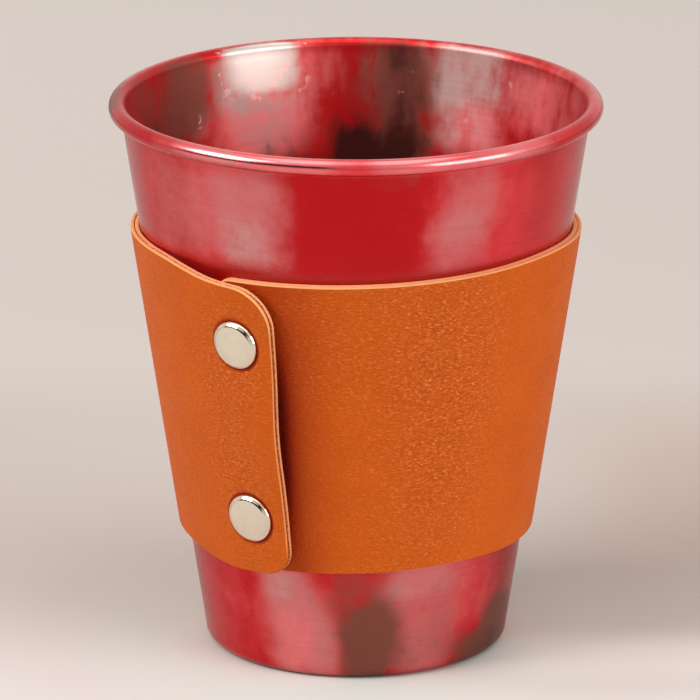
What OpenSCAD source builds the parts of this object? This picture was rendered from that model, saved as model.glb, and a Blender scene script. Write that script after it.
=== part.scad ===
// Tapered metal tumbler in a two-ply leather wrap that two snap fasteners close.
// Millimetres, +Z up, origin on the table under the middle of the cup.
// Azimuths are in degrees from the front (-Y), positive towards +X.

/* [Cup] */
// Diameter over the rolled rim
rim_d = 100; // [94:1:108]
// Height from the table to the top of the rim
cup_h = 114; // [110:1:120]
// Diameter of the tapered wall where it would meet the table
foot_d = 61; // [58:1:64]
// Thickness of the spun sheet, measured level
wall = 1.1; // [0.9:0.1:1.2]
// Radius of the rolled rim's round section
bead_r = 1.7; // [1.6:0.1:2]
// Radius of the turn from the wall to the base
base_corner = 2.6; // [2:0.2:3.4]
// Width of the flat ring that the cup stands on
foot_w = 3; // [2:0.5:4]
// Height that the middle of the base is pressed up
base_dish = 0.8; // [0.5:0.1:1.2]

/* [Sleeve] */
// Height of the sleeve's lower edge on the cup
sleeve_z = 25.1; // [22:0.1:28]
// Upright height of the sleeve
sleeve_h = 63.1; // [60:0.1:66]
// Thickness of one ply of leather
ply = 0.9; // [0.8:0.05:1]
// Room between the lining and the cup
cup_gap = 0.15; // [0.12:0.01:0.2]
// Azimuth of the end that lies under the flap
under_az = -39.5; // [-41:0.5:-38]
// Corner radius of the end that lies under the flap
under_corner = 5; // [3:0.5:7]

/* [Flap] */
// Azimuth where the outer end starts to leave the cup
leave_az = -93; // [-94:1:-90]
// How far the outer end's curve is struck off the cup's axis
flap_throw = 5.6; // [5.4:0.1:6]
// Azimuth of the free edge, seen from the flap's own centre
free_az = -27.2; // [-28:0.2:-26]
// Azimuth of the bend line, seen from the flap's own centre
bend_az = -61.2; // [-63:0.2:-60]
// How far the flap's upper edge falls from the bend line to the snaps
top_fall = 1.3; // [0:0.1:2.4]
// How far the flap's lower edge falls from the bend line to the snaps
low_fall = 0.8; // [0:0.1:2.4]
// Radius of the flap's upper corner
top_corner = 8; // [5:0.5:10]
// Radius of the flap's lower corner
low_corner = 5; // [3:0.5:8]

/* [Snaps] */
// Height of the upper snap
upper_z = 73.7; // [70:0.1:76]
// Height of the lower snap
lower_z = 35.9; // [34:0.1:40]
// Distance of the snaps from the flap's free edge
snap_inset = 8.5; // [8:0.1:9.5]
// Azimuth that the snaps face
snap_az = -34.5; // [-36:0.5:-33]
// Diameter of the cap
cap_d = 10; // [9:0.5:10.5]
// Height of the cap over its seat
cap_h = 1.3; // [1:0.1:1.6]

/* [Hidden] */
$fn = 96;

copper = [0.70, 0.22, 0.24];
tan_leather = [0.78, 0.36, 0.13];
tan_lining = [0.86, 0.56, 0.32];
nickel = [0.86, 0.80, 0.71];
spring_steel = [0.62, 0.62, 0.60];

// Cup section
rim_r = rim_d / 2;
foot_r = foot_d / 2;
bead_x = rim_r - bead_r;
bead_z = cup_h - bead_r;
taper = atan((rim_r - 2 * bead_r + wall - foot_r) / bead_z);
curl_r = bead_r - wall;
curl_slit = 0.35;
corner_steps = 10;
function cone_r(z) = foot_r + z * tan(taper);

// A point at height z on the cup, moved off its surface by d
function off_cup(z, d) = [cone_r(z) + d * cos(taper), z - d * sin(taper)];
function arc(c, r, a0, a1) =
    [for (i = [0 : corner_steps]) let (a = a0 + (a1 - a0) * i / corner_steps) c + r * [cos(a), sin(a)]];
function facing(az) = [sin(az), -cos(az)];

// Leather levels, square to the cup's wall
lining_in = cup_gap;
lining_out = cup_gap + ply;
face_out = cup_gap + 2 * ply;
sleeve_top = sleeve_z + sleeve_h;
spare = 6;

// Flap: the same taper, struck from a centre moved away from the cup's axis
flap_centre = -flap_throw * facing(leave_az);
bend_slot = 0.2;
function flap_r(z, d) = cone_r(z) + flap_throw + d / cos(taper);

// Snap frame: X along the flap to its free edge, Y up the wall, Z out of the flap.
// Level 0 is the flap's inner face at the snap.
mid_z = (upper_z + lower_z) / 2;
across = [cos(snap_az), sin(snap_az)];
function snap_face_az(z) = free_az - snap_inset / flap_r(z, face_out) * 180 / PI;
function snap_xy(z) = flap_centre + flap_r(z, lining_in) * facing(snap_face_az(z));
function snap_t(z) = snap_xy(z) * across;
function snap_out(z) = snap_xy(z) * facing(snap_az);

// Snap levels and radii
lap_gap = (norm(snap_xy(mid_z)) - cone_r(mid_z) - face_out / cos(taper)) * cos(taper);
flange_t = 0.35;
barrel_r = 1.3;
hole_r = barrel_r + 0.1;
cap_seat = 2 * ply - 0.35;
socket_r = 4.2;
hub_r = 3;
socket_low = -0.47;
hub_top = ply + 0.23;
plate_t = 0.28;
lip_t = 0.2;
lip_r = 2.4;
chamber_r = 2.6;
roll_r = 1.75;
roll_t = 0.3;
spring_wire = 0.2;
spring_r = 2.15;
spring_z = socket_low + lip_t + spring_wire;
stud_r = 3.8;
stud_seat = -lap_gap - flange_t;
neck_r = 1.75;
bulb_r = 2.05;
stud_top = 0.4;
post_r = 4.2;
post_seat = -lap_gap - 2 * ply + flange_t + 0.02;
fit = 0.02;
seat_room = 0.1;
arc_over = 0.05;
slim = 0.02;

// Half of the cup cut through its axis
module cup_section() {
    corner_x = cone_r(base_corner) - base_corner / cos(taper);
    corner_c = [corner_x, base_corner];
    floor_z = base_dish + wall;
    foot_in = corner_x - foot_w;
    inner_corner = base_corner - wall;
    inner_x = cone_r(bead_z) - wall;
    polygon(concat(
        [[0, base_dish], [foot_in - 2 * base_dish, base_dish], [foot_in, 0]],
        arc(corner_c, base_corner, -90, -taper),
        [[cone_r(bead_z), bead_z], [inner_x, bead_z]],
        arc(corner_c, inner_corner, -taper, -90),
        [[foot_in, wall], [foot_in - 2 * base_dish, floor_z], [0, floor_z]]));
}

// The rim's curl: a rolled tube, open by a slit against the wall
module curl_section() {
    difference() {
        translate([bead_x, bead_z]) circle(r = bead_r);
        translate([bead_x, bead_z]) circle(r = curl_r);
        translate([cone_r(bead_z), bead_z - bead_r - 1]) square([curl_slit, bead_r + 1 - curl_r / 2]);
    }
}

// One ply's section: a strip of the given height, square to the wall
module ply_section(z0, z1, d0, d1) {
    polygon([off_cup(z0, d0), off_cup(z0, d1), off_cup(z1, d1), off_cup(z1, d0)]);
}

// A ply wrapped round the cup between two azimuths
module wrapped(from, to, d0, d1) {
    rotate_extrude(angle = to - from, start = from - 90) ply_section(sleeve_z, sleeve_top, d0, d1);
}

// A ply of the outer end, between two azimuths about the flap's own centre
module struck_off(from, to, z0, z1, d0, d1) {
    translate([flap_centre.x, flap_centre.y, 0])
        rotate_extrude(angle = to - from, start = from - 90)
            translate([flap_throw, 0]) ply_section(z0, z1, d0, d1);
}

module snap_frame(z, t) {
    rotate([0, 0, snap_az])
        translate([t, -snap_out(z), z])
            rotate([90 + taper, 0, 0]) children();
}

module at_snaps() {
    for (z = [lower_z, upper_z]) {
        snap_frame(z, snap_t(z)) children();
    }
}

// What rounds off a corner of radius r: the corner at the origin, the leather at -X and -Y.
// The arc stands a hair past both edges, so it meets them at a slight angle.
module corner_waste(r) {
    translate([-r, -r]) difference() {
        square(2 * r);
        circle(r = r + arc_over);
    }
}

// What rounds off the two corners of the end under the flap
module under_waste() {
    for (top = [0, 1]) {
        z = top == 1 ? sleeve_top : sleeve_z;
        rotate([0, 0, under_az])
            translate([0, -cone_r(z), z])
                rotate([90 + taper, 0, 0])
                    linear_extrude(height = 2 * spare, center = true)
                        mirror([1, 0]) mirror([0, 1 - top]) corner_waste(under_corner);
    }
}

// The flap's outline in the snap frame at mid height, running past the bend line
module flap_outline() {
    bend_xy = flap_centre + flap_r(mid_z, lining_in) * facing(bend_az);
    bend_reach = snap_t(mid_z) - bend_xy * across;
    run_past = bend_reach + spare;
    bend_drop = (snap_out(mid_z) - bend_xy * facing(snap_az)) * sin(taper);
    up = (sleeve_top - mid_z) / cos(taper) - bend_drop;
    down = (sleeve_z - mid_z) / cos(taper) - bend_drop;
    edge_t = flap_centre * across - snap_t(mid_z);
    top_t = edge_t + flap_r(sleeve_top, face_out) * sin(free_az - snap_az);
    low_t = edge_t + flap_r(sleeve_z, face_out) * sin(free_az - snap_az);
    top_slope = top_fall / bend_reach;
    low_slope = low_fall / bend_reach;
    top_free = [top_t, up - top_slope * (bend_reach + top_t)];
    low_free = [low_t, down - low_slope * (bend_reach + low_t)];
    edge_lean = atan((top_t - low_t) / (top_free.y - low_free.y));
    difference() {
        polygon([
            [-run_past, up + top_slope * spare],
            top_free,
            low_free,
            [-run_past, down + low_slope * spare]]);
        translate(top_free) rotate(-(atan(top_slope) + edge_lean) / 2) corner_waste(top_corner);
        translate(low_free) rotate(-(atan(low_slope) + edge_lean) / 2) mirror([0, 1]) corner_waste(low_corner);
    }
}

module flap_ply(d0, d1) {
    intersection() {
        struck_off(bend_az + bend_slot, free_az + spare, sleeve_z - spare, sleeve_top + spare, d0, d1);
        snap_frame(mid_z, snap_t(mid_z))
            linear_extrude(height = 8 * spare, center = true) flap_outline();
    }
}

// The outer end is a hair slimmer than the ring, so its face lies inside the ring's where they meet
module band_ply(d0, d1) {
    difference() {
        union() {
            wrapped(under_az, 360 + leave_az, d0, d1);
            struck_off(leave_az, bend_az - bend_slot, sleeve_z + slim, sleeve_top - slim, d0 + slim, d1 - slim);
        }
        under_waste();
    }
}

module cup() {
    color(copper) rotate_extrude() {
        cup_section();
        curl_section();
    }
}

module band_lining() {
    color(tan_lining) difference() {
        band_ply(lining_in, lining_out);
        at_snaps() {
            translate([0, 0, post_seat - spare]) cylinder(r = post_r + seat_room, h = spare);
            translate([0, 0, -spare]) cylinder(r = hole_r, h = spare);
        }
    }
}

module band_face() {
    color(tan_leather) difference() {
        band_ply(lining_out, face_out);
        at_snaps() {
            translate([0, 0, stud_seat]) cylinder(r = stud_r + seat_room, h = spare);
            translate([0, 0, -spare]) cylinder(r = hole_r, h = spare);
        }
    }
}

module flap_lining() {
    color(tan_lining) difference() {
        flap_ply(lining_in, lining_out);
        at_snaps() {
            translate([0, 0, -spare]) cylinder(r = socket_r + seat_room, h = spare);
            cylinder(r = hub_r + fit, h = spare);
        }
    }
}

module flap_face() {
    color(tan_leather) difference() {
        flap_ply(lining_out, face_out);
        at_snaps() {
            translate([0, 0, -spare]) cylinder(r = hub_r + fit, h = spare + hub_top + fit);
            cylinder(r = hole_r, h = spare);
            translate([0, 0, cap_seat]) cylinder(r = cap_d / 2 + fit, h = spare);
        }
    }
}

// Half of the cap's head: a low crown inside a rounded edge, flat where it sits
module cap_head() {
    cap_r = cap_d / 2;
    edge_r = 0.7;
    crown = 0.25;
    flat_r = cap_r - edge_r;
    shoulder = cap_seat + cap_h - crown;
    crown_r = (pow(flat_r, 2) + pow(crown, 2)) / (2 * crown);
    intersection() {
        translate([0, cap_seat]) square([cap_r, cap_h]);
        union() {
            square([cap_r, shoulder - edge_r]);
            square([flat_r, shoulder]);
            translate([flat_r, shoulder - edge_r]) circle(r = edge_r);
            intersection() {
                translate([0, cap_seat + cap_h - crown_r]) circle(r = crown_r, $fn = 8 * $fn);
                square([flat_r, cap_seat + cap_h]);
            }
        }
    }
}

// Cap with the barrel that clinches the socket to it
module snap_cap() {
    barrel_low = hub_top - plate_t - roll_t;
    rotate_extrude() {
        cap_head();
        difference() {
            union() {
                translate([0, barrel_low]) square([barrel_r, cap_seat - barrel_low]);
                translate([0, barrel_low]) square([roll_r, roll_t]);
            }
            translate([0, barrel_low]) square([barrel_r - flange_t, cap_seat - barrel_low]);
        }
    }
}

// Ring socket: a flange with a lip round its mouth, and a hub that houses the spring
module snap_socket() {
    rotate_extrude() difference() {
        union() {
            translate([0, socket_low]) square([socket_r, -socket_low - fit]);
            translate([0, socket_low]) square([hub_r, hub_top - socket_low]);
        }
        translate([0, socket_low]) square([lip_r, lip_t]);
        translate([0, socket_low + lip_t]) square([chamber_r, hub_top - plate_t - socket_low - lip_t]);
        translate([0, hub_top - plate_t]) square([barrel_r + fit, plate_t]);
    }
}

// Split ring of round wire that grips the stud under its bulb
module snap_spring() {
    translate([0, 0, spring_z])
        rotate_extrude(angle = 320, start = 110) translate([spring_r, 0]) circle(r = spring_wire);
}

// Flanged stud with a neck, a bulb and a countersunk bore for the post
module snap_stud() {
    neck_top = -0.25;
    bulb_z = 0.15;
    sink = 0.2;
    rotate_extrude() difference() {
        polygon([
            [0, stud_seat], [stud_r, stud_seat], [stud_r, stud_seat + flange_t],
            [neck_r, stud_seat + flange_t], [neck_r, neck_top], [bulb_r, bulb_z],
            [bulb_r - 0.1, stud_top - 0.08], [bulb_r - 0.3, stud_top], [0, stud_top]]);
        translate([0, stud_seat]) square([barrel_r + fit, stud_top - stud_seat]);
        polygon([
            [0, stud_top - sink], [barrel_r + fit, stud_top - sink],
            [barrel_r + fit + sink, stud_top], [0, stud_top]]);
    }
}

// Flanged post whose barrel is flared into the top of the stud
module snap_post() {
    flare = 0.18;
    flare_z = stud_top - flare - fit;
    rotate_extrude() difference() {
        union() {
            translate([0, post_seat - flange_t]) square([post_r, flange_t]);
            translate([0, post_seat]) square([barrel_r, flare_z - post_seat]);
            polygon([[0, flare_z], [barrel_r, flare_z], [barrel_r + flare - fit, flare_z + flare], [0, flare_z + flare]]);
        }
        translate([0, post_seat]) square([barrel_r - flange_t, stud_top - post_seat]);
    }
}

module upper() {
    snap_frame(upper_z, snap_t(upper_z)) children();
}

module lower() {
    snap_frame(lower_z, snap_t(lower_z)) children();
}

module upper_cap() { color(nickel) upper() snap_cap(); }
module upper_socket() { color(nickel) upper() snap_socket(); }
module upper_spring() { color(spring_steel) upper() snap_spring(); }
module upper_stud() { color(nickel) upper() snap_stud(); }
module upper_post() { color(nickel) upper() snap_post(); }
module lower_cap() { color(nickel) lower() snap_cap(); }
module lower_socket() { color(nickel) lower() snap_socket(); }
module lower_spring() { color(spring_steel) lower() snap_spring(); }
module lower_stud() { color(nickel) lower() snap_stud(); }
module lower_post() { color(nickel) lower() snap_post(); }

cup();
band_lining();
band_face();
flap_lining();
flap_face();
upper_cap();
upper_socket();
upper_spring();
upper_stud();
upper_post();
lower_cap();
lower_socket();
lower_spring();
lower_stud();
lower_post();
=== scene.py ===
import bpy
import numpy as np
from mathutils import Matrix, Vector


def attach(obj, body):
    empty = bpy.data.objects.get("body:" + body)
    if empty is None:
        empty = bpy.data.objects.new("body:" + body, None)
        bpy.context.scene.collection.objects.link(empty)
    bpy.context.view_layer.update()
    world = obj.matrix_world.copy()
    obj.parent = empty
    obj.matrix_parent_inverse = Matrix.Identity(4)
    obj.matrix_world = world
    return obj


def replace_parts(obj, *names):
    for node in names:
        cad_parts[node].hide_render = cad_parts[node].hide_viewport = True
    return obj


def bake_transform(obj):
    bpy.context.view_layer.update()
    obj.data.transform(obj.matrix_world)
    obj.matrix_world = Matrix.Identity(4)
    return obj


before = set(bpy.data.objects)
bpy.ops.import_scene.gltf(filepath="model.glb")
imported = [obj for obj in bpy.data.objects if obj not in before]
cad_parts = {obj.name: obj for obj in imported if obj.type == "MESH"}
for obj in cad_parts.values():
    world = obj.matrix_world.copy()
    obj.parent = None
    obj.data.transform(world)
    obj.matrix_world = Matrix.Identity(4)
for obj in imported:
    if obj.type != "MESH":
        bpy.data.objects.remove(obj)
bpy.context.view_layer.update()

mm = 0.001
deg = np.pi / 180
print("frame loaded:", len(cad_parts), "CAD nodes")


def smooth(x, low, high):
    # S-curve: 0 below low, 1 above high, 3t^2 - 2t^3 between
    t = np.clip((x - low) / (high - low), 0, 1)
    return t * t * (3 - 2 * t)


def facing(az):
    # level unit vector at an azimuth in degrees, from the front towards +X
    return np.stack([np.sin(az * deg), -np.cos(az * deg)], axis=-1)


def throughPoints(pairs, x):
    # cubic Hermite through (place, value) pairs, each slope taken from its two neighbours
    place, value = np.array(pairs, float).T
    slope = np.gradient(value, place)
    i = np.clip(np.searchsorted(place, x) - 1, 0, len(place) - 2)
    span = place[i + 1] - place[i]
    t = np.clip((x - place[i]) / span, 0, 1)
    return (value[i] * (1 + 2 * t) * (1 - t) ** 2 + slope[i] * span * t * (1 - t) ** 2
            + value[i + 1] * t * t * (3 - 2 * t) - slope[i + 1] * span * t * t * (1 - t))


def arc(centre, radius, start, end, steps):
    # points on a circle between two angles in degrees
    a = np.linspace(start, end, steps) * deg
    return np.stack([centre[0] + radius * np.cos(a), centre[1] + radius * np.sin(a)], axis=1)


def line(start, end, steps):
    # evenly spaced points on a straight line
    return np.linspace(start, end, steps)


def spread(start, end, step):
    # places from start to end, as near to the step apart as fits evenly
    return np.linspace(start, end, max(2, int(round((end - start) / step)) + 1))


def makePiece(name, points, quads, tris):
    # points in mm; every face is turned outwards by the sign of the enclosed volume
    quads, tris = np.asarray(quads).reshape(-1, 4), np.asarray(tris).reshape(-1, 3)
    split = np.concatenate([quads[:, [0, 1, 2]], quads[:, [0, 2, 3]], tris])
    a, b, c = points[split[:, 0]], points[split[:, 1]], points[split[:, 2]]
    if np.einsum("ij,ij->", a, np.cross(b, c)) < 0:
        quads, tris = quads[:, ::-1], tris[:, ::-1]
    corners = np.concatenate([quads.ravel(), tris.ravel()]).astype(np.int32)
    starts = np.concatenate([np.arange(len(quads)) * 4, len(quads) * 4 + np.arange(len(tris)) * 3])
    mesh = bpy.data.meshes.new(name)
    mesh.vertices.add(len(points))
    mesh.vertices.foreach_set("co", (points * mm).astype(np.float32).ravel())
    mesh.loops.add(len(corners))
    mesh.loops.foreach_set("vertex_index", corners)
    mesh.polygons.add(len(starts))
    mesh.polygons.foreach_set("loop_start", starts.astype(np.int32))
    mesh.polygons.foreach_set("use_smooth", np.ones(len(starts), bool))
    mesh.update(calc_edges=True)
    mesh.validate()
    piece = bpy.data.objects.new(name, mesh)
    bpy.context.scene.collection.objects.link(piece)
    print("made", name, len(points), "points")
    return piece


def giveValues(piece, name, values):
    # one number for each point, for the material to read
    layer = piece.data.attributes.new(name, "FLOAT", "POINT")
    layer.data.foreach_set("value", np.asarray(values, np.float32).ravel())


def lathe(profile, columns):
    # profile (radius, height) carried round Z; its two ends lie on the axis and become poles
    az = np.arange(columns) * 360 / columns
    ring = profile[1:-1]
    level = ring[:, None, 0, None] * facing(az)[None]
    grid = np.concatenate([level, np.repeat(ring[:, None, 1, None], columns, axis=1)], axis=2)
    poles = np.array([[0, 0, profile[0, 1]], [0, 0, profile[-1, 1]]])
    index = np.arange(len(ring) * columns).reshape(len(ring), columns)
    ahead = np.roll(index, -1, axis=1)
    quads = np.stack([index[:-1], ahead[:-1], ahead[1:], index[1:]], axis=-1)
    first, last = len(ring) * columns, len(ring) * columns + 1
    tris = np.concatenate([
        np.stack([np.full(columns, first), ahead[0], index[0]], axis=1),
        np.stack([np.full(columns, last), index[-1], ahead[-1]], axis=1)])
    return np.concatenate([grid.reshape(-1, 3), poles]), quads, tris


class Wire:
    # one output socket; arithmetic on it adds Math nodes
    def __init__(self, recipe, socket):
        self.recipe, self.socket = recipe, socket

    def math(self, operation, *values):
        return self.recipe.node("ShaderNodeMath", {"operation": operation}, dict(enumerate(values)))

    def __add__(self, other): return self.math("ADD", self, other)
    def __radd__(self, other): return self.math("ADD", other, self)
    def __sub__(self, other): return self.math("SUBTRACT", self, other)
    def __rsub__(self, other): return self.math("SUBTRACT", other, self)
    def __mul__(self, other): return self.math("MULTIPLY", self, other)
    def __rmul__(self, other): return self.math("MULTIPLY", other, self)


class Recipe:
    # a node tree that is filled by expressions
    def __init__(self, owner):
        owner.use_nodes = True
        self.owner, self.tree = owner, owner.node_tree
        self.tree.nodes.clear()

    def node(self, kind, settings=None, sockets=None, out=0):
        # any node: its settings, what its sockets hold or are wired to, and the output that is handed on
        made = self.tree.nodes.new(kind)
        for key, value in (settings or {}).items():
            setattr(made, key, value)
        for key, value in (sockets or {}).items():
            if isinstance(value, Wire):
                self.tree.links.new(value.socket, made.inputs[key])
            else:
                made.inputs[key].default_value = value
        return Wire(self, made.outputs[out]) if len(made.outputs) else None

    def ramp(self, value, low, high):
        # S-curve from 0 at low to 1 at high
        return self.node("ShaderNodeMapRange", {"interpolation_type": "SMOOTHSTEP"},
                         {"Value": value, "From Min": low, "From Max": high})

    def mix(self, share, first, second, blend="MIX"):
        first, second = ((*c, 1) if isinstance(c, tuple) else c for c in (first, second))
        return self.node("ShaderNodeMix", {"data_type": "RGBA", "blend_type": blend},
                         {0: share, 6: first, 7: second}, out=2)

    def stretch(self, place, scale):
        return self.node("ShaderNodeVectorMath", {"operation": "MULTIPLY"}, {0: place, 1: scale})

    def noise(self, place, scale, detail=2.0, rough=0.5):
        return self.node("ShaderNodeTexNoise", {},
                         {"Vector": place, "Scale": scale, "Detail": detail, "Roughness": rough})

    def value(self, name):
        return self.node("ShaderNodeAttribute", {"attribute_name": name}, out=2)

    def object(self):
        return self.node("ShaderNodeTexCoord", out=3)

    def coordinate(self, place, axis):
        return self.node("ShaderNodeSeparateXYZ", {}, {0: place}, out=axis)

    def zone(self, place, limits):
        # product of S-curves, each along one axis from low to high
        share, *others = (self.ramp(self.coordinate(place, axis), low, high) for axis, low, high in limits)
        for other in others:
            share = share * other
        return share

    def bump(self, height, strength, distance):
        return self.node("ShaderNodeBump", {}, {"Height": height, "Strength": strength, "Distance": distance})

    def surface(self, sockets):
        shader = self.node("ShaderNodeBsdfPrincipled", {}, sockets)
        self.node("ShaderNodeOutputMaterial", {}, {"Surface": shader})
        return self.owner


def newRecipe(name):
    return Recipe(bpy.data.materials.new(name))


# cup: spun shell, sizes in mm
cup = {
    "rimRadius": 50.0, "height": 114.0, "footRadius": 30.5, "wall": 1.1, "beadRadius": 1.7,
    "cornerRadius": 2.6, "footWidth": 3.0, "dish": 0.8, "innerRing": 4.0,
    "columns": 288, "wallRows": 96, "beadRows": 44, "cornerRows": (14, 10), "footRows": (5, 4), "floorRows": 6,
    "crease": (0.22, 0.5),       # width and depth of the crease under the bead
    "hang": (-112, -114),        # angles on the bead: what the crease is measured from, where its skin begins
    "inner": (-2, 8),            # rows past the rim's top over which the inside's patina takes over
    "wobble": 0.03,              # unevenness of the hand-finished wall
    # amount, waves round, lean and start of each ripple
    "waves": ((1.0, 3, 0.06, 0.0), (0.6, 5, -0.11, 1.3), (0.5, 2, 0.17, 0.4)),
    "rippled": (2, 14, 104, 110),   # heights where the ripple begins and is full, begins to fade and is gone
}
beadZ = cup["height"] - cup["beadRadius"]
beadX = cup["rimRadius"] - cup["beadRadius"]
tanTaper = (cup["rimRadius"] - 2 * cup["beadRadius"] + cup["wall"] - cup["footRadius"]) / beadZ
cosTaper = 1 / np.hypot(1, tanTaper)
sinTaper = tanTaper * cosTaper
taper = np.arctan(tanTaper) / deg


def wallRadius(z):
    # radius of the cup's outer wall at a height
    return cup["footRadius"] + z * tanTaper


def cupProfile():
    # from the middle of the underside: dish, foot ring, corner, wall, crease, bead, inner wall, floor
    c, w, dish, ring = cup["cornerRadius"], cup["wall"], cup["dish"], cup["innerRing"]
    nick = 0.1   # clearance at the joins
    cornerX = wallRadius(c) - c / cosTaper
    footIn = cornerX - cup["footWidth"]
    dishIn = footIn - 2 * dish
    gap, depth = cup["crease"]
    hang, beadStart = cup["hang"]
    outRows, inRows = cup["cornerRows"]
    dishRows, ringRows = cup["footRows"]
    hangZ = beadZ + cup["beadRadius"] * np.sin(hang * deg)
    creaseZ = hangZ + depth
    corner = arc((cornerX, c), c, -90, -taper, outRows)
    innerCorner = arc((cornerX, c), c - w, -taper, -90, inRows)
    wallTop = np.array([wallRadius(hangZ - nick), hangZ - nick])
    wallIn = np.array([wallRadius(beadZ) - w, beadZ])
    return np.concatenate([
        np.array([[0, dish]]), line((ring, dish), (dishIn, dish), cup["floorRows"])[:-1],
        line((dishIn, dish), (footIn, 0), dishRows), line((footIn + nick, 0), (cornerX - nick, 0), ringRows),
        corner, line(corner[-1], wallTop, cup["wallRows"])[1:],
        np.array([[wallRadius(creaseZ) - 0.2 * nick, creaseZ], [wallRadius(creaseZ) + gap, creaseZ]]),
        arc((beadX, beadZ), cup["beadRadius"], beadStart, 180, cup["beadRows"]),
        line(wallIn, innerCorner[0], cup["wallRows"])[1:-1], innerCorner,
        line((footIn + 2 * nick, w), (footIn - 2 * nick, w), 2),
        line((dishIn, dish + w), (ring, dish + w), cup["floorRows"]), np.array([[0, dish + w]])])


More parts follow.
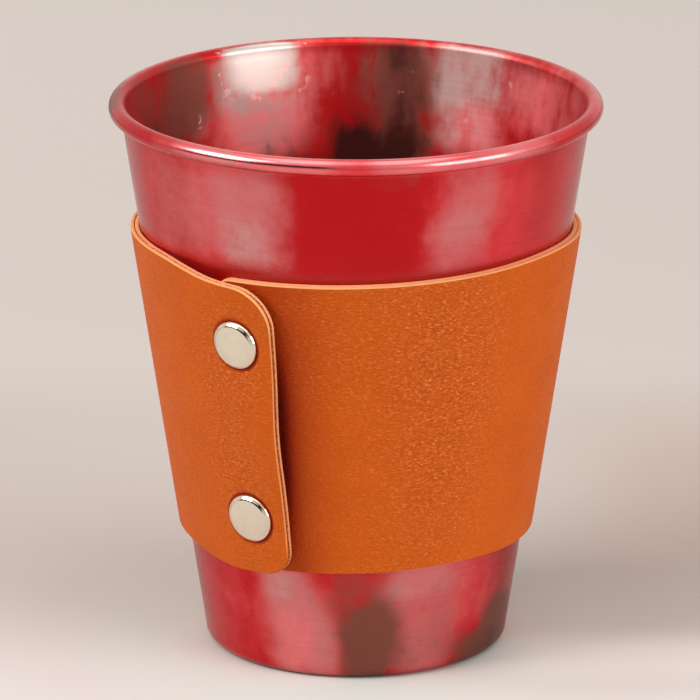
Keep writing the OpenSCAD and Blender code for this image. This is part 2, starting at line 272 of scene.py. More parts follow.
# patina and painted light: (azimuth, height, half width in degrees, half height in mm, amount)
patina = {
    # pink and rose are partly patina, partly painted reflections of the lamps: the bands either side of the front
    # on the wall and near the foot, and the inside entries; the entries at height 113 are painted highlights along
    # the bead
    "pink": {
        "out": ((-53, 98, 20, 16, 0.6), (52, 97, 18, 17, 0.85), (-29, 98, 11, 18, 0.3), (27, 97, 10, 18, 0.5),
                (0, 113, 46, 2.6, 0.95), (82, 113, 12, 2.6, 0.4), (-60, 12, 14, 15, 0.55), (-40, 12, 12, 15, 0.2),
                (-20, 11, 17, 16, 0.6), (27, 13, 14, 16, 0.5), (48, 17, 14, 9, 0.65), (3, 20, 7, 5, 0.3),
                (180, 113, 80, 2.6, 0.5), (105, 98, 20, 18, 0.6), (158, 98, 20, 18, 0.7), (232, 98, 18, 18, 0.6),
                (120, 14, 22, 12, 0.6), (215, 13, 26, 13, 0.7)),
        "in": ((131, 99, 7, 6, 0.45), (213, 97, 16, 7, 0.4), (190, 92, 6, 3, 0.3), (147, 98, 10, 7, 0.5),
               (112, 106, 18, 8, 0.6), (126, 108, 8, 6, 0.4), (190, 108, 8, 6, 0.4)),
    },
    "rose": {
        "out": ((-28, 100, 10.5, 11, 0.85), (29, 104, 8, 9, 0.55), (26.5, 93, 9, 8, 0.55),
                (-49, 99, 12, 12, 0.55), (46, 103, 10, 8, 0.12), (-22, 10, 12.5, 13, 0.85), (-10, 7, 7, 8, 0.5),
                (-27, 21, 9, 5, 0.6), (26, 12, 15, 14, 0.7), (22, 22, 15, 4, 0.5), (-52, 12, 20, 18, 0.12),
                (50, 18, 14, 8, 0.25),
                (-14, 113, 10, 2.2, 0.7), (14, 113, 10, 2.2, 0.7), (40, 113, 12, 2.2, 0.5),
                (-40, 113, 14, 2.2, 0.4), (180, 113, 80, 2.6, 0.4), (100, 100, 14, 18, 0.7),
                (196, 99, 14, 18, 0.8), (250, 98, 12, 18, 0.6), (105, 12, 16, 12, 0.7), (206, 12, 16, 14, 0.8),
                (258, 12, 16, 12, 0.5)),
        "in": ((147, 98, 9, 7, 1.1), (133, 108, 8, 6, 0.7), (207, 97, 15, 7, 1.0), (226, 100, 4, 4, 0.5),
               (190, 108, 8, 6, 0.45), (112, 106, 18, 8, 0.45), (173, 107, 6, 5, 0.4), (40, 92, 40, 24, 0.5)),
    },
    # painted highlights: bright pink along the bead, low on the wall left of the front, and inside where the lamps
    # are mirrored
    "paintedHighlight": {
        "out": ((-33, 113, 13, 2.2, 0.9), (-12, 113, 10, 2.2, 0.8), (14, 113, 10, 2.2, 0.8),
                (38, 113, 14, 2.2, 0.8), (-22, 8, 10, 8, 0.6), (180, 113, 70, 2.4, 0.5)),
        "in": ((147, 98, 9, 6, 0.75), (113, 106, 18, 8, 0.5), (128, 104, 8, 8, 0.32), (207, 97, 13, 7, 0.75),
               (226, 100, 5, 4, 0.4), (135, 108, 5, 4, 0.4)),
    },
    # grey patina, with painted reflection at the two sides (azimuths -87 and 87) and round the highlights inside
    "ash": {
        "out": ((-29, 94, 9, 7, 0.4), (-87, 95, 10, 15, 0.7), (87, 95, 10, 15, 0.6), (-28, 20, 7, 4, 0.5),
                (14, 17, 9, 5, 0.35), (4, 5, 10, 9, 0.4), (-88, 12, 8, 14, 0.4), (200, 95, 9, 10, 0.4)),
        "in": ((149, 109, 11, 7, 0.9), (157, 99, 5, 8, 0.5), (190, 109, 7, 5, 0.1), (217, 107, 6, 6, 0.6),
               (164, 111, 5, 4, 0.3), (173, 105, 6, 8, 0.4), (205, 103, 12, 3, 0.4), (207, 97, 11, 6, 0.4),
               (147, 98, 9, 6, 0.35)),
    },
    # brown patina; the band and the line under the bead are painted shade, the broad patches deep inside paint the
    # shade in the cup's depth, and the patches at the front of the foot are partly painted dark reflection
    "oxideAndShade": {
        "out": ((2, 4, 9, 11, 0.9), (12, 9, 9, 9, 0.45), (31, 13, 10, 10, 0.4), (-2, 18, 16, 9, 0.38),
                (66, 5, 13, 9, 1.1), (-93, 113, 14, 2.6, 0.5), (-38, 111.1, 24, 1.1, 0.3), (54, 2, 15, 5, 0.9),
                (0, 109.5, 40, 2.5, 0.25), (136, 6, 14, 9, 0.9), (188, 7, 10, 9, 0.7), (268, 104, 13, 10, 0.5),
                (128, 104, 10, 9, 0.4)),
        "in": ((246, 104, 20, 12, 0.55), (227, 106, 10, 9, 0.65), (166, 100, 8, 14, 0.9), (176, 101, 9, 14, 0.55),
               (106, 107, 16, 8, 0.3), (180, 70, 26, 20, 0.7), (0, 40, 64, 28, 0.7)),
    },
    # dark patina; the broad patch deep inside at the back is painted shade in the cup's depth
    "sootAndShade": {
        "out": ((62, 3, 15, 4, 0.3),),
        "in": ((168, 111, 5, 4, 0.5), (165, 97, 5, 9, 0.45), (175, 90, 9, 9, 0.6), (252, 100, 12, 6, 0.3),
               (170, 104, 3, 8, 0.3), (182, 97, 5, 8, 0.3), (180, 80, 30, 14, 0.6)),
    },
    # painted reflections of the lamps: pale along the bead and inside the rim
    "paintedReflection": {
        "out": ((-33, 113, 12, 2.2, 0.4), (38, 113, 12, 2.2, 0.35)),
        "in": ((205.5, 110, 11.5, 7, 1.0), (148, 101, 5, 3, 0.4), (225, 101, 4, 3, 0.35), (135, 108, 3, 3, 0.4),
               (167, 105, 3, 4, 0.3)),
    },
    "sleeveShade": {   # painted shade: deep red along the sleeve's top edge and behind it
        "out": ((10, 85.5, 42, 3.0, 1.1), (56, 86.4, 40, 3.0, 1.1), (130, 85.6, 50, 3.0, 1.1),
                (215, 85.6, 45, 3.0, 1.1), (-28, 86.4, 10, 3.4, 0.7), (-52, 86.4, 18, 2.6, 0.8),
                (20, 56, 60, 30, 0.4), (140, 56, 60, 30, 0.4), (240, 56, 50, 30, 0.4)),
        "in": (),
    },
}


def patches(listed, az, z):
    # sum of soft spots, each exp(-u^3 - v^4) of the distances round the cup and up it
    total = np.zeros_like(z)
    for spotAz, spotZ, wide, tall, amount in listed:
        turn = np.abs((az - spotAz + 180) % 360 - 180)
        total += amount * np.exp(-(turn / wide) ** 3 - ((z - spotZ) / tall) ** 4)
    return total


def makeCup():
    # the profile turned round Z, plus a slow ripple: a sum of sines of the azimuth and the height
    profile = cupProfile()
    points, quads, tris = lathe(profile, cup["columns"])
    rows = len(profile) - 2
    radius, z = np.hypot(points[:, 0], points[:, 1]), points[:, 2]
    az = np.arctan2(points[:, 0], -points[:, 1]) / deg
    ripple = sum(amount * np.sin(waves * az * deg + z * lean + start)
                 for amount, waves, lean, start in cup["waves"])
    begins, full, fades, gone = cup["rippled"]
    ripple *= cup["wobble"] / sum(wave[0] for wave in cup["waves"])
    ripple *= smooth(z, begins, full) * (1 - smooth(z, fades, gone))
    points[:, :2] *= (1 + ripple / np.maximum(radius, 1))[:, None]
    topRow = np.argmax(profile[1:-1, 1])
    row = np.concatenate([np.repeat(np.arange(rows), cup["columns"]), [0, rows - 1]])
    inside = smooth(row, topRow + cup["inner"][0], topRow + cup["inner"][1])
    piece = makePiece("cupShell", points, quads, tris)
    for name, sides in patina.items():
        outer, inner = patches(sides["out"], az, z), patches(sides["in"], az, z)
        giveValues(piece, name, outer * (1 - inside) + inner * inside)
    giveValues(piece, "inside", inside)
    return piece


# copper: colours, and the coats of patina and of painted light, shade and reflection in the order they lie: kind,
# where it begins and is full, raggedness, colour
copper = {
    "red": ((0.50, 0.011, 0.014), (0.58, 0.017, 0.022)), "fleck": (0.80, 0.50, 0.46),
    # the last colour is the painted shade along the sleeve's top edge
    "spinLine": (0.20, 0.02, 0.02), "sleeveShade": (0.36, 0.006, 0.005),
    "coats": (
        ("pink", 0.0, 1.0, 1.0, (0.84, 0.060, 0.074)), ("rose", 0.0, 1.0, 1.0, (0.66, 0.195, 0.198)),
        ("paintedHighlight", 0.1, 1.0, 1.0, (0.94, 0.20, 0.218)), ("ash", 0.15, 0.95, 1.0, (0.58, 0.41, 0.385)),
        ("oxideAndShade", 0.12, 0.9, 1.5, (0.235, 0.074, 0.056)), ("sootAndShade", 0.1, 0.95, 1.5, (0.060, 0.014, 0.012)),
        ("paintedReflection", 0.3, 0.75, 0.5, (0.58, 0.52, 0.49))),
    "cloudScale": 95.0, "fineScale": 420.0,
    "spun": (25.0, 25.0, 1300.0), "runs": (300.0, 300.0, 75.0),   # stretch of the spin lines and of the runs
    "fleckSize": (0.58, 0.68), "fleckNear": (0.12, 0.3),          # of the noise, and of the painted reflections' amount
    "beadLow": (0.1104, 0.1114),                                  # heights in m where the smoother bead begins
    "dull": 0.27,
}


def redMetal():
    # flame-coloured copper: red, pink, rose, grey and brown clouds with ragged edges, over fine spin lines; some
    # clouds are painted highlights, reflections and shade, and painted shade runs along the sleeve's top edge
    r = newRecipe("flameCopper")
    place = r.object()
    inside, sleeveShade = r.value("inside"), r.value("sleeveShade")
    cloud = r.noise(place, copper["cloudScale"], 4.0, 0.6)
    fine = r.noise(place, copper["fineScale"], 3.0, 0.6)
    streak = r.noise(r.stretch(place, copper["spun"]), 1.0, 2.0, 0.6)
    drip = r.noise(r.stretch(place, copper["runs"]), 1.0, 3.0, 0.6)
    ragged = (cloud - 0.5) * 0.8 + (drip - 0.5) * (0.25 + 0.45 * inside) + (fine - 0.5) * 0.25
    colour = r.mix(cloud, *copper["red"])
    shares = {}
    for kind, low, high, raggedness, tone in copper["coats"]:
        amount = r.value(kind)
        shares[kind] = r.ramp(amount + ragged * raggedness, low, high) * r.ramp(amount, 0.0, 0.2)
        colour = r.mix(shares[kind], colour, tone)
    # pale flecks round the painted reflections inside
    flecks = r.ramp(r.noise(place, copper["fineScale"], 2.0, 0.6), *copper["fleckSize"])
    flecks = flecks * r.ramp(r.value("paintedReflection"), *copper["fleckNear"]) * inside
    colour = r.mix(flecks * 0.7, colour, copper["fleck"])
    colour = r.mix(r.ramp(streak, 0.5, 0.3) * 0.08, colour, copper["spinLine"])
    # painted shade along the sleeve's top edge and behind it
    colour = r.mix(sleeveShade, colour, copper["sleeveShade"])
    bead = r.ramp(r.coordinate(place, 2), *copper["beadLow"]) * (1 - inside * 0.5)
    dusty = 0.15 + 0.72 * (shares["ash"] + shares["paintedHighlight"])
    worn = 0.14 * shares["oxideAndShade"] + 0.12 * inside - 0.06 * bead
    return r.surface({
        "Base Color": colour, "Metallic": 1 - dusty * inside - 0.8 * sleeveShade,
        "Roughness": copper["dull"] + worn + (streak - 0.5) * 0.08 + (cloud - 0.5) * 0.1,
        "Normal": r.bump(streak * 0.8 + fine * 0.2, 0.035, 0.0001)})


# sleeve: two plies of leather, measured in mm; places along it are azimuths from the end under the flap
sleeve = {
    "ends": (-39.5, 332.8), "leave": 267.0, "throw": 5.6, "split": 249.0,
    "topEdge": ((-40, 86.6), (0, 87.3), (30, 87.9), (58, 88.4), (90, 87.6), (180, 87.8), (270, 87.8),
                (290, 88.0), (301, 87.9), (308, 87.3), (315, 86.5), (325, 86.05), (335, 85.6)),
    "lowEdge": ((-40, 24.2), (0, 24.7), (30, 25.2), (60, 24.9), (90, 25.0), (180, 25.1), (270, 25.4),
                (294.5, 24.7), (304, 24.1), (315, 23.8), (321, 24.0), (327, 24.3), (334, 24.6)),
    "flatEdges": (88.0, 24.8),     # heights of the edges that the flat sizes are worked out with
    "middle": (56.6, 1.05),        # height and level at which lengths along the strip are measured
    "flapCorners": (8.0, 5.0), "underCorners": (5.0, 5.0),   # radii at the top and the low edge
    "cornerZ": (84.0, 26.0),       # heights at which those corners are measured
    "lining": (0.15, 1.03), "face": (1.07, 1.95),            # levels of the two plies over the cup
    "hug": (296.0, 16.0, 0.5),     # middle, width and depth of the part drawn in to the cup
    "gape": (1.3, 54.5, 11.0, 316.0, 332.0),   # lift between the snaps: depth, middle, half height, from, to
    "stagger": 0.4,                # how far the lining runs past the face at the free end, in degrees
    "rounding": (0.34, 0.17),      # of the cut edges, on the flap and on the front of the band
    "softer": (215.0, 249.0),      # where the band's rounding gives way to the flap's
    "squareness": 2.6,
    "pale": (0.10, 0.18, 0.32),    # width of the pale cut at the low, free and top edges; the wider top band is painted highlight
    "paleReach": ((2, 9), (2, 12)),   # distances from the low and the top edge over which that width changes
    "paleFade": ((1, 8), (1, 12)),    # and over which its paleness changes, a painted highlight strongest on the top cut
    "joint": ((0.55, 0.95), (0.3, 0.6)),   # share of the thickness and distance from the cut of the dark joint
    "flapShade": (-22.0, 3.0, 0.6),  # where the painted shade under and beside the flap ends, and its amount
    # painted shadow line beside the flap's free edge: along, half width, height, half height, amount
    "worn": (-21.6, 3.4, 53.5, 19.0, 0.72),
    # samples along a ply from its end, (from, to, step), where no "to" means on to the split
    "flapSteps": ((0.45, 1.9, 0.25), (2.1, 15.4, 0.25), (16.0, None, 0.6)),
    "bandSteps": ((0.45, 9.0, 0.4), (9.6, None, 0.75)),
    # and up it; the flap's are closer together at the snaps
    "flapRows": ((3.0, 7.4, 0.55), (7.4, 17.4, 0.26), (18.0, 44.4, 0.6), (45.0, 55.6, 0.26),
                 (56.2, 60.0, 0.5)),
    "bandRows": 80, "margin": 3.0, "edgeRows": (0.5, 2.65, 0.45), "cutSamples": 9,
    "splitSteps": (0.3, 0.1, 0.02, 0.0),   # the last samples, short of the split
    "cutLevel": 1.0,                       # level over the cup at which distances to the end are measured
}
# where the grain shows most and has painted sheen and glints: (along, height, half width in degrees, half height
# in mm, amount)
grainAndSheenSpots = ((27, 66, 15, 36, 0.95), (5, 76, 24, 14, 0.5), (16, 44, 20, 26, 0.35), (322, 72, 8, 12, 0.7),
               (322, 38, 8, 14, 0.5), (318, 56, 9, 20, 0.5), (120, 56, 30, 26, 0.7), (200, 58, 30, 26, 0.7))
flapCentre = -sleeve["throw"] * facing(np.array(sleeve["leave"]))
# bend: the line that the flap opens on, and how far the bend reaches along the leather, in mm
bend = {"height": 54.8, "azimuth": -61.2, "along": np.array([0.4818, -0.8763, 0.0]), "reach": (-1.0, 14.0)}

# snaps: places of their middles and levels over the flap's inner face, in mm
snaps = {
    "upper": np.array([-23.0618, -38.2268, 73.7]), "lower": np.array([-20.3278, -33.0227, 35.9]),
    "faces": -34.5, "seat": 1.45, "rise": 1.3, "crown": 0.2, "columns": 96, "crownRows": 26, "rimRows": 30,
    "edge": ((4.05, 0.2), (4.25, 0.26), (4.68, 0.54), (4.98, 0.82), (5.12, 1.12)),   # radius, drop
    "lip": ((0, 0.12), (-0.02, 0.05), (-0.07, 0.01), (-0.15, 0)),   # rolled edge, from the rim and the seat
    "collar": 1.4, "barrel": 1.3, "bore": 0.95, "roll": 1.75, "barrelLow": 0.55, "rollTop": 0.85,
    "turn": 0.08, "nick": 0.05, "neck": (0.03, 0.02),               # roundings at the roll, the bore and the neck
    "near": 8.0,              # leather farther off than this along the axis isn't pressed
    "shadow": (5.35, 6.1),    # painted shadow ring round a cap: full inside, none outside
}
snapAcross = np.array([np.cos(snaps["faces"] * deg), np.sin(snaps["faces"] * deg), 0.0])
snapOut = np.array([cosTaper * np.sin(snaps["faces"] * deg), -cosTaper * np.cos(snaps["faces"] * deg), -sinTaper])
snapUp = np.cross(snapOut, snapAcross)

# where leather is pressed at the snaps: (level, full inside this radius, none outside this one)
pressed = {
    "flapFace": {"out": ((1.42, 4.95, 6.6),), "in": ((1.16, 2.9, 3.3),)},
    "flapLining": {"out": ((1.06, 2.9, 3.3),), "in": ((0.0, 4.3, 5.4), (0.96, 2.66, 2.96))},
    "bandFace": {"out": ((-1.20, 3.95, 4.9),), "in": ()},
    "bandLining": {"out": (), "in": ((-2.26, 4.35, 5.4),)},
}


def stripPoint(along, z, off):
    # a place on the strip: the cup's taper moved outwards by off, struck from the flap's centre past "leave"
    # less what draws it in to the cup, a Gaussian along the strip, plus the lift of the free end between the snaps
    past = along > sleeve["leave"]
    middle, wide, depth = sleeve["hug"]
    drawn = depth * np.exp(-((along - middle) / wide) ** 2)
    lift, gapeZ, gapeTall, gapeFrom, gapeTo = sleeve["gape"]
    lifted = lift * smooth(along, gapeFrom, gapeTo) * np.exp(-((z - gapeZ) / gapeTall) ** 2)
    radius = wallRadius(z) + off * cosTaper - drawn + lifted + np.where(past, sleeve["throw"], 0)
    level = radius[..., None] * facing(along) + np.where(past[..., None], flapCentre, 0)
    return np.concatenate([level, (z - off * sinTaper)[..., None]], axis=-1)


def stripLength(along):
    # length along the strip at mid height: angle times radius, with the longer radius past "leave"
    midZ, midOff = sleeve["middle"]
    radius = wallRadius(midZ) + midOff
    return deg * (radius * along + sleeve["throw"] * np.maximum(along - sleeve["leave"], 0))


def fromSnap(points, middle):
    # distances from a snap's middle: along its axis and round it
    local = points - middle
    return local @ snapOut, np.hypot(local @ snapAcross, local @ snapUp)


def pressAtSnaps(points, presses):
    # moves leather along the snap's axis to the level of what is clinched on it
    for level, full, none in presses:
        for middle in (snaps["upper"], snaps["lower"]):
            out, reach = fromSnap(points, middle)
            share = (1 - smooth(reach, full, none)) * (np.abs(out) < snaps["near"])
            points = points + ((level - out) * share)[..., None] * snapOut
    return points


def edgeSteps():
    # distances from a cut edge at which the rounded section is sampled
    turn = np.linspace(0, 90, sleeve["cutSamples"]) * deg
    return sleeve["rounding"][0] * (1 - np.cos(turn) ** (2 / sleeve["squareness"]))


def plyAlong(end, split, steps):
    # samples along a ply, closest together at its end; lengths become azimuths again by interpolation
    endLength, splitLength = stripLength(np.array(end)), stripLength(np.array(split))
    total = abs(endLength - splitLength)
    bodyShort, *lastShort = sleeve["splitSteps"]
    body = [spread(start, stop or total - bodyShort, step) for start, stop, step in steps]
    fromEnd = np.concatenate([edgeSteps(), *body, [total - short for short in lastShort]])
    lengths = endLength + np.sign(split - end) * fromEnd
    table = np.linspace(min(end, split) - 1, max(end, split) + 1, 4000)
    along = np.interp(lengths, stripLength(table), table)
    along[-1] = split
    return along


def plyGrid(along, end, corners, inner, throw):
    # heights of the rows, which follow the edges and the corners, and distances to the edges and the cut
    # in a corner of radius R the cut lies R - hypot(R - u, R - v) away, for distances u and v to its two edges
    margin = sleeve["margin"]
    edge = np.concatenate([edgeSteps(), spread(*sleeve["edgeRows"])])
    top, low = throughPoints(sleeve["topEdge"], along), throughPoints(sleeve["lowEdge"], along)
    back = np.abs(end - along) * deg
    inCorner, inset = [], []
    for radius, height in zip(corners, sleeve["cornerZ"]):
        reach = np.minimum(back * (wallRadius(height) + throw + sleeve["cutLevel"]), radius)
        inCorner.append(reach)
        inset.append(radius - np.sqrt(np.maximum(radius ** 2 - (radius - reach) ** 2, 0)))
    topZ, lowZ = (top - inset[0] * cosTaper)[:, None], (low + inset[1] * cosTaper)[:, None]
    innerLow, innerTop = lowZ + margin * cosTaper, topZ - margin * cosTaper
    z = np.concatenate([lowZ + edge * cosTaper, innerLow + (innerTop - innerLow) * inner,
                        topZ - edge[::-1] * cosTaper], axis=1)
    toTop, toLow = (top[:, None] - z) / cosTaper, (z - low[:, None]) / cosTaper
    toEnd = back[:, None] * (wallRadius(z) + throw + sleeve["cutLevel"])
    cut = np.minimum(np.minimum(toTop, toLow), toEnd)
    for radius, toEdge, reach in zip(corners, (toTop, toLow), inCorner):
        rounded = (toEdge < radius) & (reach[:, None] < radius)
        cut = np.where(rounded, radius - np.hypot(radius - toEdge, radius - reach[:, None]), cut)
    cut[:, 0] = cut[:, -1] = cut[0] = 0
    return z, toTop, toLow, np.maximum(cut, 0)


def joinSkins(name, outer, inner, rim):
    # one piece from two grids that share their points on the rim, closed by flat faces at the split
    outIndex = np.arange(rim.size).reshape(rim.shape)
    inIndex = np.where(rim, outIndex, 0)
    inIndex[~rim] = rim.size + np.arange((~rim).sum())
    points = np.concatenate([outer.reshape(-1, 3), inner[~rim]])
    skins = np.concatenate([
        np.stack([g[:-1, :-1], g[1:, :-1], g[1:, 1:], g[:-1, 1:]], axis=-1).reshape(-1, 4)
        for g in (outIndex, inIndex[:, ::-1])])
    outEnd, inEnd = outIndex[-1], inIndex[-1]
    butt = np.stack([outEnd[1:-2], inEnd[1:-2], inEnd[2:-1], outEnd[2:-1]], axis=-1)
    tips = np.array([[outEnd[0], inEnd[1], outEnd[1]], [outEnd[-1], outEnd[-2], inEnd[-2]]])
    piece = makePiece(name, points, np.concatenate([skins, butt]), tips)
    piece.data.polygons.foreach_set("use_smooth", np.arange(len(piece.data.polygons)) < len(skins))
    return piece


def makePly(name, ply, end, corners, isFlap):
    # a rectangle of leather with two rounded corners at its end: two skins that meet in a rounded cut edge
    # half thickness at a distance e from the cut is t/2 (1 - (1 - e/r)^p)^(1/p)
    if isFlap:
        rows = np.unique(np.concatenate([spread(*run) for run in sleeve["flapRows"]]))
        inner = (rows - rows[0]) / (rows[-1] - rows[0])
    else:
        inner = np.linspace(0, 1, sleeve["bandRows"])
    stations = plyAlong(end, sleeve["split"], sleeve["flapSteps" if isFlap else "bandSteps"])
    z, toTop, toLow, cut = plyGrid(stations, end, corners, inner, sleeve["throw"] if isFlap else 0)
    along = np.repeat(stations[:, None], z.shape[1], axis=1)
    onFlap = smooth(along, *sleeve["softer"])
    flapRound, bandRound = sleeve["rounding"]
    rounding = bandRound + (flapRound - bandRound) * onFlap
    p = sleeve["squareness"]
    share = (1 - (1 - np.minimum(cut / rounding, 1)) ** p) ** (1 / p)
    level, half = sum(sleeve[ply]) / 2, (sleeve[ply][1] - sleeve[ply][0]) / 2
    outer = pressAtSnaps(stripPoint(along, z, level + half * share), pressed[name]["out"])
    within = pressAtSnaps(stripPoint(along, z, level - half * share), pressed[name]["in"])
    rim = np.zeros(z.shape, bool)
    rim[:, 0] = rim[:, -1] = rim[0] = True
    piece = joinSkins(name, outer, within, rim)

    def give(title, onOuter, onInner):
        giveValues(piece, title, np.concatenate([onOuter.ravel(), onInner[~rim]]))

    # the cut is paler than the face in its own colour, and paler still along the top cut and faint along the low
    # cut as a painted highlight
    paleLow, paleEnd, paleTop = sleeve["pale"]
    nearLow, nearTop = sleeve["paleReach"]
    fadeLow, fadeTop = sleeve["paleFade"]
    width = (paleEnd + (paleLow - paleEnd) * (1 - smooth(toLow, *nearLow))
             + (paleTop - paleEnd) * (1 - smooth(toTop, *nearTop)))
    cutEdge = 1 - smooth(cut, 0.02, width)
    cutEdge *= (0.2 + 0.8 * smooth(toLow, *fadeLow)) * (1 - 0.45 * smooth(toTop, *fadeTop))
    give("cutEdge", cutEdge, cutEdge)
    # the dark joint between the plies lies on the skin that meets the other ply
    jointShare, jointCut = sleeve["joint"]
    joint = smooth(share, *jointShare) * (1 - smooth(cut, *jointCut)) * (0.25 + 0.75 * onFlap)
    give("joint", *((joint * 0, joint) if ply == "face" else (joint, joint * 0)))
    # where the grain shows most, with painted sheen on it
    rub = patches(grainAndSheenSpots, along, z)
    give("grainAndSheen", rub, rub)
    # painted shade: darker beside and under the flap, a painted shadow line beside the flap's free edge, and
    # painted shadow rings round the caps
    flapShadeFrom, flapShadeTo, flapShadeAmount = sleeve["flapShade"]
    shadeLineAt, shadeLineWide, shadeLineZ, shadeLineTall, shadeLineAmount = sleeve["worn"]
    dark = flapShadeAmount * (1 - smooth(along, flapShadeFrom, flapShadeTo))
    dark += shadeLineAmount * np.exp(-((along - shadeLineAt) / shadeLineWide) ** 2 - ((z - shadeLineZ) / shadeLineTall) ** 4)
    for middle in (snaps["upper"], snaps["lower"]):
        ring = 1 - smooth(fromSnap(outer, middle)[1], *snaps["shadow"])
        dark = np.maximum(dark, ring * (along > sleeve["leave"]))
    dark = dark if ply == "face" else dark * 0
    give("dark", dark, dark)
    # the flat pattern, 100 mm to the unit, so that the grain runs along the strip; the inner skin lies beside it
    pattern = np.stack([stripLength(along), z / cosTaper], axis=-1) / 100
    pattern = np.concatenate([pattern.reshape(-1, 2), pattern[~rim] + (0.0, 3.0)])
    corner = np.zeros(len(piece.data.loops), np.int32)
    piece.data.loops.foreach_get("vertex_index", corner)
    layer = piece.data.uv_layers.new(name="skin")
    layer.uv.foreach_set("vector", pattern[corner].astype(np.float32).ravel())
    return piece


def flatCut(start, end, off):
    # the developed strip is a sector of a ring: its chord, its depth and its area, in metres
    swing = abs(end - start) * sinTaper * deg
    outer, inner = ((wallRadius(z) + off) / sinTaper * mm for z in sleeve["flatEdges"])
    width = 2 * outer * np.sin(swing / 2)
    return (width, outer - inner * np.cos(swing / 2)), (outer ** 2 - inner ** 2) * swing / 2


# leather: grain scales to the pattern's unit, along the strip and up it, and colours
leather = {
    "pebbles": (105.0, 210.0, 1.0), "creases": (120.0, 270.0, 1.0), "drift": (0.008, 0.008, 0.0),
    # first row: tones of the painted sheen, of the painted shade beside the flap and of the painted shadow line
    # and rings; second row: painted highlight on the crests, painted glints, and the joint
    "grainAndSheen": (0.63, 0.107, 0.004), "flapShade": (0.36, 0.020, 0.0005), "worn": (0.11, 0.004, 0.0003),
    "litCrest": (0.80, 0.185, 0.025), "glint": (0.98, 0.44, 0.20), "joint": (0.27, 0.05, 0.02),
    "fineScale": 480.0, "broadScale": 9.0, "driftScale": 90.0, "dotScale": 230.0,
    "hollowAt": (0.62, 0.25), "crestAt": (0.85, 1.25), "glintAt": (0.54, 0.63),   # of the lumps, of the fine noise
    "hollowShare": 0.32, "crestShare": 0.4, "glintShare": 0.85, "relief": 0.00019,
    # colour, its deeper shade, colour of the cuts, amount of grain
    "face": ((0.61, 0.107, 0.003), (0.575, 0.095, 0.002), (0.92, 0.44, 0.18), 1.0),
    "lining": ((0.64, 0.20, 0.05), (0.56, 0.16, 0.036), (0.92, 0.40, 0.20), 0.5),
}


def hide(name, colour, deep, edgeColour, grain):
    # pebbled leather: lumps longer along the strip than up it, with painted shade in the hollows and a painted
    # highlight and glints on the tops where the grain shows most, pale along the cuts with a painted highlight on
    # the top cut, painted shade and shadow where the dark value says, and dark in the joint between the plies
    r = newRecipe(name)
    place = r.node("ShaderNodeUVMap", {"uv_map": "skin"})
    wander = r.node("ShaderNodeTexNoise", {}, {"Vector": place, "Scale": leather["driftScale"]}, out=1)
    drift = r.stretch(wander, leather["drift"])
    bent = r.node("ShaderNodeVectorMath", {"operation": "ADD"}, {0: place, 1: drift})
    cells = r.node("ShaderNodeTexVoronoi", {"feature": "SMOOTH_F1"},
                   {"Vector": r.stretch(bent, leather["pebbles"]), "Scale": 1.0, "Smoothness": 0.35})
    creases = r.noise(r.stretch(bent, leather["creases"]), 1.0, 2.0, 0.55)
    fine = r.noise(place, leather["fineScale"], 2.0, 0.6)
    broad = r.noise(place, leather["broadScale"], 2.0)
    edge, joint, grainAndSheen, dark = (r.value(title) for title in ("cutEdge", "joint", "grainAndSheen", "dark"))
    lump = (1 - r.ramp(cells, 0.15, 0.8)) * 0.6 + r.ramp(creases, 0.32, 0.68) * 0.8 + (fine - 0.5) * 0.35
    hollow, litCrest = r.ramp(lump, *leather["hollowAt"]), r.ramp(lump, *leather["crestAt"])
    raised = (0.2 + 0.8 * grainAndSheen) * grain
    tone = r.mix(r.ramp(broad, 0.3, 0.7), colour, deep)
    # painted sheen where the grain shows most
    tone = r.mix(grainAndSheen * grain, tone, leather["grainAndSheen"])
    # painted shade beside and under the flap, then the darker painted shadow line and rings round the caps
    tone = r.mix(r.ramp(dark, -0.1, 1.1), tone, leather["flapShade"])
    tone = r.mix(r.ramp(dark, 0.75, 1.4), tone, leather["worn"])
    # painted shade in the hollows
    tone = r.mix(hollow * raised * leather["hollowShare"], tone, tuple(0.5 * c for c in deep))
    # painted highlight and glints on the crests, taken off in the painted shade
    lit = litCrest * raised * r.ramp(dark, 1.1, 0.3)
    tone = r.mix(lit * leather["crestShare"], tone, leather["litCrest"])
    tone = r.mix(lit * r.ramp(fine, *leather["glintAt"]) * leather["glintShare"], tone, leather["glint"])
    # pale cuts: their own colour, with a painted highlight strongest on the top cut
    tone = r.mix(r.ramp(edge, 0.1, 0.9), tone, edgeColour)
    dots = r.ramp(r.noise(place, leather["dotScale"], 1.0), 0.4, 0.6)
    tone = r.mix(joint * dots, tone, leather["joint"])
    height = lump * (1 - edge * 0.7) * (0.45 + 0.45 * grainAndSheen)
    return r.surface({
        "Base Color": tone, "Roughness": 0.46 + 0.12 * fine + 0.12 * hollow + edge * 0.2,
        "Specular IOR Level": 0.14, "Normal": r.bump(height, 0.9 * grain, leather["relief"])})


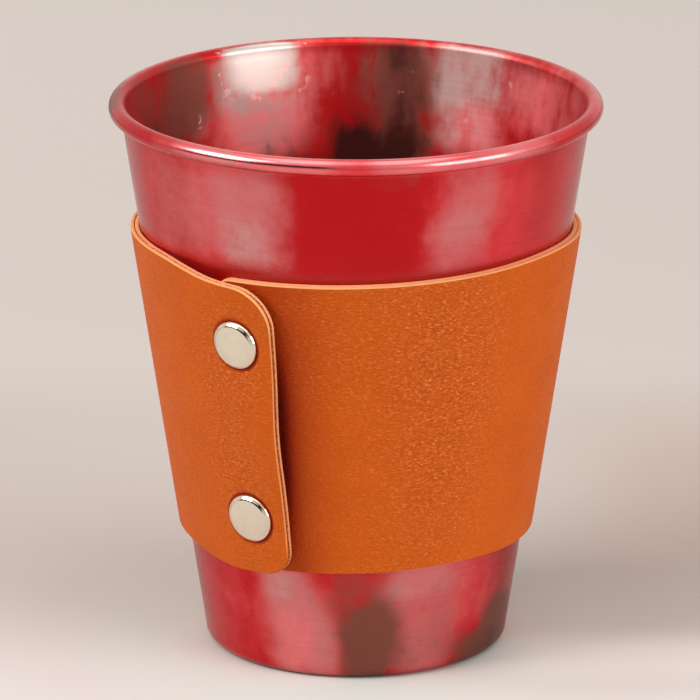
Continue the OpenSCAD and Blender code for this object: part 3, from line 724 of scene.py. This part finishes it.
def makeCap(name, middle):
    # cap: a low crown r^2, a bevelled and rolled edge, a flat seat, and the barrel that clinches the socket
    s = snaps
    seat, top = s["seat"], s["seat"] + s["rise"]
    bore, barrel, roll, turn = s["bore"], s["barrel"], s["roll"], s["turn"]
    barrelLow, rollTop, nick = s["barrelLow"], s["rollTop"], s["nick"]
    neckTop, neckLow = s["neck"]
    flatR, capR = s["edge"][0][0], s["edge"][-1][0]
    crownR, rimR = np.linspace(0, flatR, s["crownRows"]), np.linspace(flatR, capR, s["rimRows"])[1:]
    crown = np.stack([crownR, top - s["crown"] * (crownR / flatR) ** 2], axis=1)
    rim = np.stack([rimR, top - throughPoints(s["edge"], rimR)], axis=1)
    lip = np.array(s["lip"]) + (capR, seat)
    under = np.array([
        [s["collar"], seat], [barrel, seat - neckTop], [barrel, rollTop + neckLow], [roll - turn, rollTop],
        [roll, rollTop - turn], [roll, barrelLow + turn], [roll - turn, barrelLow], [bore + nick, barrelLow],
        [bore, barrelLow + nick], [bore, seat - nick], [bore - nick, seat], [0, seat]])
    points, quads, tris = lathe(np.concatenate([crown, rim, lip, under]), s["columns"])
    points = middle + points[:, :1] * snapAcross + points[:, 1:2] * snapUp + points[:, 2:] * snapOut
    return makePiece(name, points, quads, tris)


# plating: noise scales, and each finish's colour and roughness
plating = {
    "cloudScale": 260.0, "rubScale": 1500.0, "rubStretch": (1.0, 1.0, 6.0), "relief": 0.00004,
    "nickel": ((0.80, 0.70, 0.565), 0.08), "wire": ((0.55, 0.54, 0.52), 0.25),
}


def plate(name, colour, dull):
    # plated metal with faint rub marks
    r = newRecipe(name)
    place = r.object()
    cloud = r.noise(place, plating["cloudScale"], 3.0)
    rub = r.noise(r.stretch(place, plating["rubStretch"]), plating["rubScale"], 3.0, 0.65)
    tone = r.mix(r.ramp(cloud, 0.25, 0.75), colour, tuple(0.9 * c for c in colour))
    return r.surface({
        "Base Color": tone, "Metallic": 1.0, "Roughness": dull + (rub - 0.5) * 0.08 + (cloud - 0.5) * 0.05,
        "Normal": r.bump(rub, 0.03, plating["relief"])})


cupShell = makeCup()
cupShell.data.materials.append(redMetal())
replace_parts(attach(cupShell, "cup"), "cup")
print("cup done")

under, free = sleeve["ends"]
bendRadius = wallRadius(bend["height"]) + sleeve["throw"]
bendAt = np.append(flapCentre + bendRadius * facing(np.array(bend["azimuth"])), bend["height"])
hides = {"face": hide("tanHide", *leather["face"]), "lining": hide("tanLining", *leather["lining"])}
for ply, material in hides.items():
    band = makePly("band" + ply.title(), ply, under, sleeve["underCorners"], False)
    flapEnd = free + (sleeve["stagger"] if ply == "lining" else 0)
    flap = makePly("flap" + ply.title(), ply, flapEnd, sleeve["flapCorners"], True)
    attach(band, "sleeve")
    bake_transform(flap)
    level = sum(sleeve[ply]) / 2
    for piece, node, start, end, off in ((band, "band_" + ply, under, sleeve["split"], level),
                                         (flap, "flap_" + ply, sleeve["split"], free, level + sleeve["throw"])):
        piece.data.materials.append(material)
        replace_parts(piece, node)
        "leather_" + ply
        flat, area = flatCut(start, end, off)
print("sleeve done")

nickel = plate("warmNickel", *plating["nickel"])
wire = plate("springWire", *plating["wire"])
for side in ("upper", "lower"):
    cap = makeCap(side + "Cap", snaps[side])
    cap.data.materials.append(nickel)
    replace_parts(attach(cap, "flap"), side + "_cap")
    for part in ("socket", "stud", "post", "spring"):
        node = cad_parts[f"{side}_{part}"]
        node.data.materials.clear()
        node.data.materials.append(wire if part == "spring" else nickel)
print("snaps done")

# studio: one pale floor whose tone changes with depth and carries painted light and shadow, a soft key from the
# left and two fills, in metres
studio = {
    "floorHalf": 6.0, "near": (0.74, 0.725, 0.71),
    # depths where a tone begins and is full; the tones paint the fall of light, brighter close in front and far
    # back
    "bands": ((-0.05, 0.04, (0.62, 0.565, 0.535)), (0.14, 0.20, (0.67, 0.61, 0.58)),
              (0.22, 0.6, (0.75, 0.69, 0.655))),
    # tones of two patches, a painted shadow behind on the right and painted light in front of it, within limits
    # (axis, none here, full here)
    "patches": (
        ((0.575, 0.48, 0.43), ((0, 0.03, 0.075), (1, 0.02, 0.07), (1, 0.18, 0.11))),
        ((0.85, 0.81, 0.785), ((0, 0.015, 0.04), (0, 0.13, 0.07), (1, 0.004, -0.014), (1, -0.036, -0.02)))),
    "cool": (1.0, 1.13, 1.11), "coolReach": (0.07, 0.035),      # takes the cup's red bounce light off the floor round the base, painted into its colour
    "front": (0.74, 0.745, 0.75), "frontDepth": (0.08, -0.1), "frontReach": (0.2, 0.6),   # dims it in front
    "lampTint": (1.0, 0.965, 0.93), "lampAim": (0, 0, 0.06),
    "lamps": (   # name, place, width, height, power
        ("keyBox", (-1.35, -0.5, 1.1), 1.1, 1.0, 20.5), ("fillBox", (1.3, -0.95, 0.5), 1.1, 0.9, 14.8),
        ("topBox", (0.0, -0.25, 1.6), 1.4, 1.4, 10.5)),
    "dim": (1.0, 0.96, 0.92, 1), "dimStrength": 0.32,           # the room as it lights matt surfaces
    "shown": (0.86, 0.78, 0.72, 1), "shownStrength": 1.0,       # and as it is seen and mirrored
    # the unlit side of the room, low down in front on the left, is what polished edges mirror
    "unlit": ((0, -0.1, -0.25), (1, 0.05, -0.08), (2, 0.44, 0.36)), "unlitShare": 0.97,
}


def makeFloor():
    # a flat square; its tone changes with depth, with painted shadow and light in two patches, round the base and
    # far in front
    h = studio["floorHalf"]
    mesh = bpy.data.meshes.new("floor")
    mesh.from_pydata([(-h, -h, 0), (h, -h, 0), (h, h, 0), (-h, h, 0)], [], [(0, 1, 2, 3)])
    floor = bpy.data.objects.new("floor", mesh)
    bpy.context.scene.collection.objects.link(floor)
    r = newRecipe("paleFloor")
    place = r.object()
    depth = r.coordinate(place, 1)
    away = r.node("ShaderNodeVectorMath", {"operation": "LENGTH"}, {0: place}, out=1)
    tone = studio["near"]
    for begins, full, colour in studio["bands"]:
        tone = r.mix(r.ramp(depth, begins, full), tone, colour)
    for colour, limits in studio["patches"]:
        tone = r.mix(r.zone(place, limits), tone, colour)
    tone = r.mix(r.ramp(away, *studio["coolReach"]), tone, studio["cool"], "MULTIPLY")
    front = r.ramp(depth, *studio["frontDepth"]) * r.ramp(away, *studio["frontReach"])
    tone = r.mix(front, tone, studio["front"], "MULTIPLY")
    mesh.materials.append(r.surface({"Base Color": tone, "Roughness": 0.7, "Specular IOR Level": 0.2}))


def lightStudio():
    # area lamps turned to the cup, and a room that is brighter to look at than it lights
    for name, at, wide, tall, power in studio["lamps"]:
        lamp = bpy.data.lights.new(name, "AREA")
        lamp.shape, lamp.size, lamp.size_y, lamp.energy = "RECTANGLE", wide, tall, power
        lamp.color = studio["lampTint"]
        box = bpy.data.objects.new(name, lamp)
        box.location = at
        box.rotation_mode = "QUATERNION"
        box.rotation_quaternion = (Vector(studio["lampAim"]) - Vector(at)).to_track_quat("-Z", "Y")
        bpy.context.scene.collection.objects.link(box)
    world = bpy.data.worlds.new("studio")
    bpy.context.scene.world = world
    r = Recipe(world)
    seen = r.node("ShaderNodeLightPath", out=0)
    for ray in ("Is Glossy Ray", "Is Transmission Ray"):
        seen = seen.math("MAXIMUM", seen, r.node("ShaderNodeLightPath", out=ray))
    lit = 1 - r.zone(r.object(), studio["unlit"]) * studio["unlitShare"]
    dim = r.node("ShaderNodeBackground", {}, {"Color": studio["dim"], "Strength": studio["dimStrength"]})
    shown = r.node("ShaderNodeBackground", {},
                   {"Color": studio["shown"], "Strength": studio["shownStrength"] * lit})
    both = r.node("ShaderNodeMixShader", {}, {0: seen, 1: dim, 2: shown})
    r.node("ShaderNodeOutputWorld", {}, {"Surface": both})


# camera: fitted to the rim, wall and base outlines, in metres, degrees and mm of lens
camera = {
    "distance": 1.5, "elevation": 16.97, "aim": (0, 0, 0.05705), "lens": 377.69, "sensor": 36.0,
    "shift": (-0.00857, 0.023), "clip": (0.05, 50),
}


def makeCamera():
    lens = bpy.data.cameras.new("camera")
    lens.lens, lens.sensor_width = camera["lens"], camera["sensor"]
    lens.shift_x, lens.shift_y = camera["shift"]
    lens.clip_start, lens.clip_end = camera["clip"]
    eye = bpy.data.objects.new("camera", lens)
    tilt = camera["elevation"] * deg
    back = Vector((0, -np.cos(tilt), np.sin(tilt)))
    eye.location = Vector(camera["aim"]) + back * camera["distance"]
    eye.rotation_mode = "QUATERNION"
    eye.rotation_quaternion = (-back).to_track_quat("-Z", "Y")
    bpy.context.scene.collection.objects.link(eye)
    bpy.context.scene.camera = eye


makeFloor()
lightStudio()
makeCamera()
bpy.context.scene.view_settings.view_transform = "Standard"
print("studio done")
